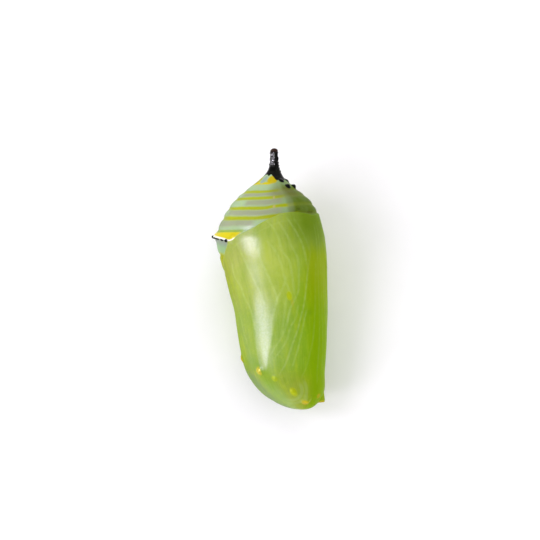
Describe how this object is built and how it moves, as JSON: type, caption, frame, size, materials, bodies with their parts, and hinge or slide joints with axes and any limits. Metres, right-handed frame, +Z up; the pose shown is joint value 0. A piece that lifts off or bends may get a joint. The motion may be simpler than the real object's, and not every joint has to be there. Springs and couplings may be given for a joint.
{
  "type": "monarch chrysalis",
  "caption": "Butterfly chrysalis lying on its flank: smooth leaf-green body with wing cases, a beaded ridge across the back, gold points and a black stalk.",
  "frame": {"origin": "middle of the object's bounding box in X and Y, on the surface that it lies on", "axes": "+Y along the body towards the black stalk, +X towards the belly, +Z up, out of the left wing case"},
  "size_m": [0.0122, 0.0276, 0.0119],
  "materials": {
    "cuticle": "waxy, smooth and slightly translucent leaf green, with thin yellow rings, small gold points and a black stalk and ridge"
  },
  "bodies": {
    "root": {"chrysalis": "cuticle"}
  },
  "joints": []
}
